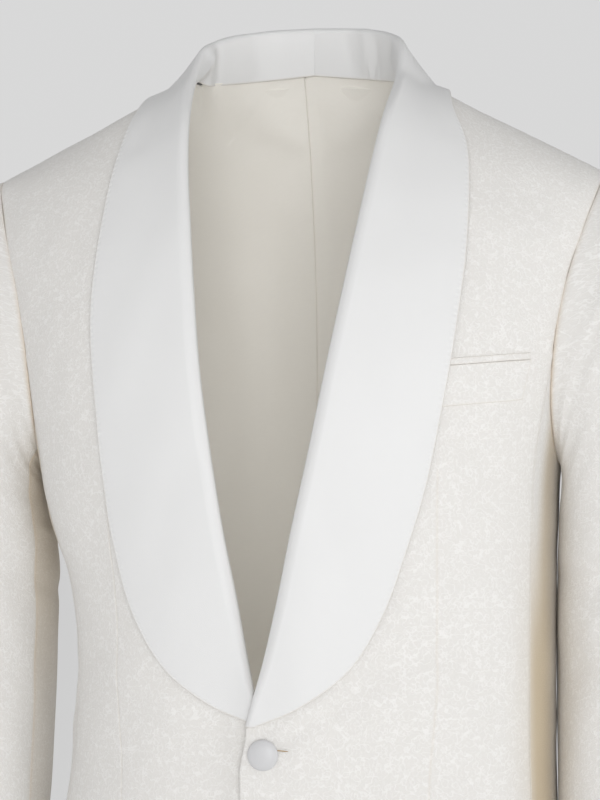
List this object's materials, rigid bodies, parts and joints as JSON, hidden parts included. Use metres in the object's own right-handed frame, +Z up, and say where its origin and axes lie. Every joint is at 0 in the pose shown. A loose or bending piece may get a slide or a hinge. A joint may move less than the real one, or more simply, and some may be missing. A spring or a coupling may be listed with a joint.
{
  "type": "tuxedo jacket",
  "caption": "Ivory tuxedo jacket, filled out and hollow, with a satin shawl collar, tone-on-tone floral jacquard cloth, flapped breast pocket, covered button and set-in sleeves.",
  "frame": {"origin": "on the centre plane, midway between the side-neck points, where the wearer's shoulders carry the jacket", "axes": "+X to the wearer's left, -Y to the front, +Z up; the jacket hangs from the origin down to its hem and cuffs"},
  "size_m": [0.604, 0.266, 0.7876],
  "materials": {
    "ivory_jacquard": "ivory floral jacquard woven tone on tone, satin figure on a matt ground",
    "ivory_satin": "cool ivory satin with a broad soft sheen",
    "champagne_lining": "champagne twill lining with a soft sheen"
  },
  "bodies": {
    "root": {"front_left": "ivory_jacquard", "front_right": "ivory_jacquard", "side_left": "ivory_jacquard", "side_right": "ivory_jacquard", "back_left": "ivory_jacquard", "back_right": "ivory_jacquard", "top_sleeve_left": "ivory_jacquard", "top_sleeve_right": "ivory_jacquard", "under_sleeve_left": "ivory_jacquard", "under_sleeve_right": "ivory_jacquard", "breast_welt": "ivory_jacquard", "breast_flap": "ivory_jacquard", "hip_welt_left": "ivory_jacquard", "hip_welt_right": "ivory_jacquard", "shawl_left": "ivory_satin", "shawl_right": "ivory_satin", "front_button": "ivory_satin", "cuff_button_left_1": "ivory_satin", "cuff_button_left_2": "ivory_satin", "cuff_button_left_3": "ivory_satin", "cuff_button_left_4": "ivory_satin", "cuff_button_right_1": "ivory_satin", "cuff_button_right_2": "ivory_satin", "cuff_button_right_3": "ivory_satin", "cuff_button_right_4": "ivory_satin", "lining_back_left": "champagne_lining", "lining_back_right": "champagne_lining"}
  },
  "joints": []
}
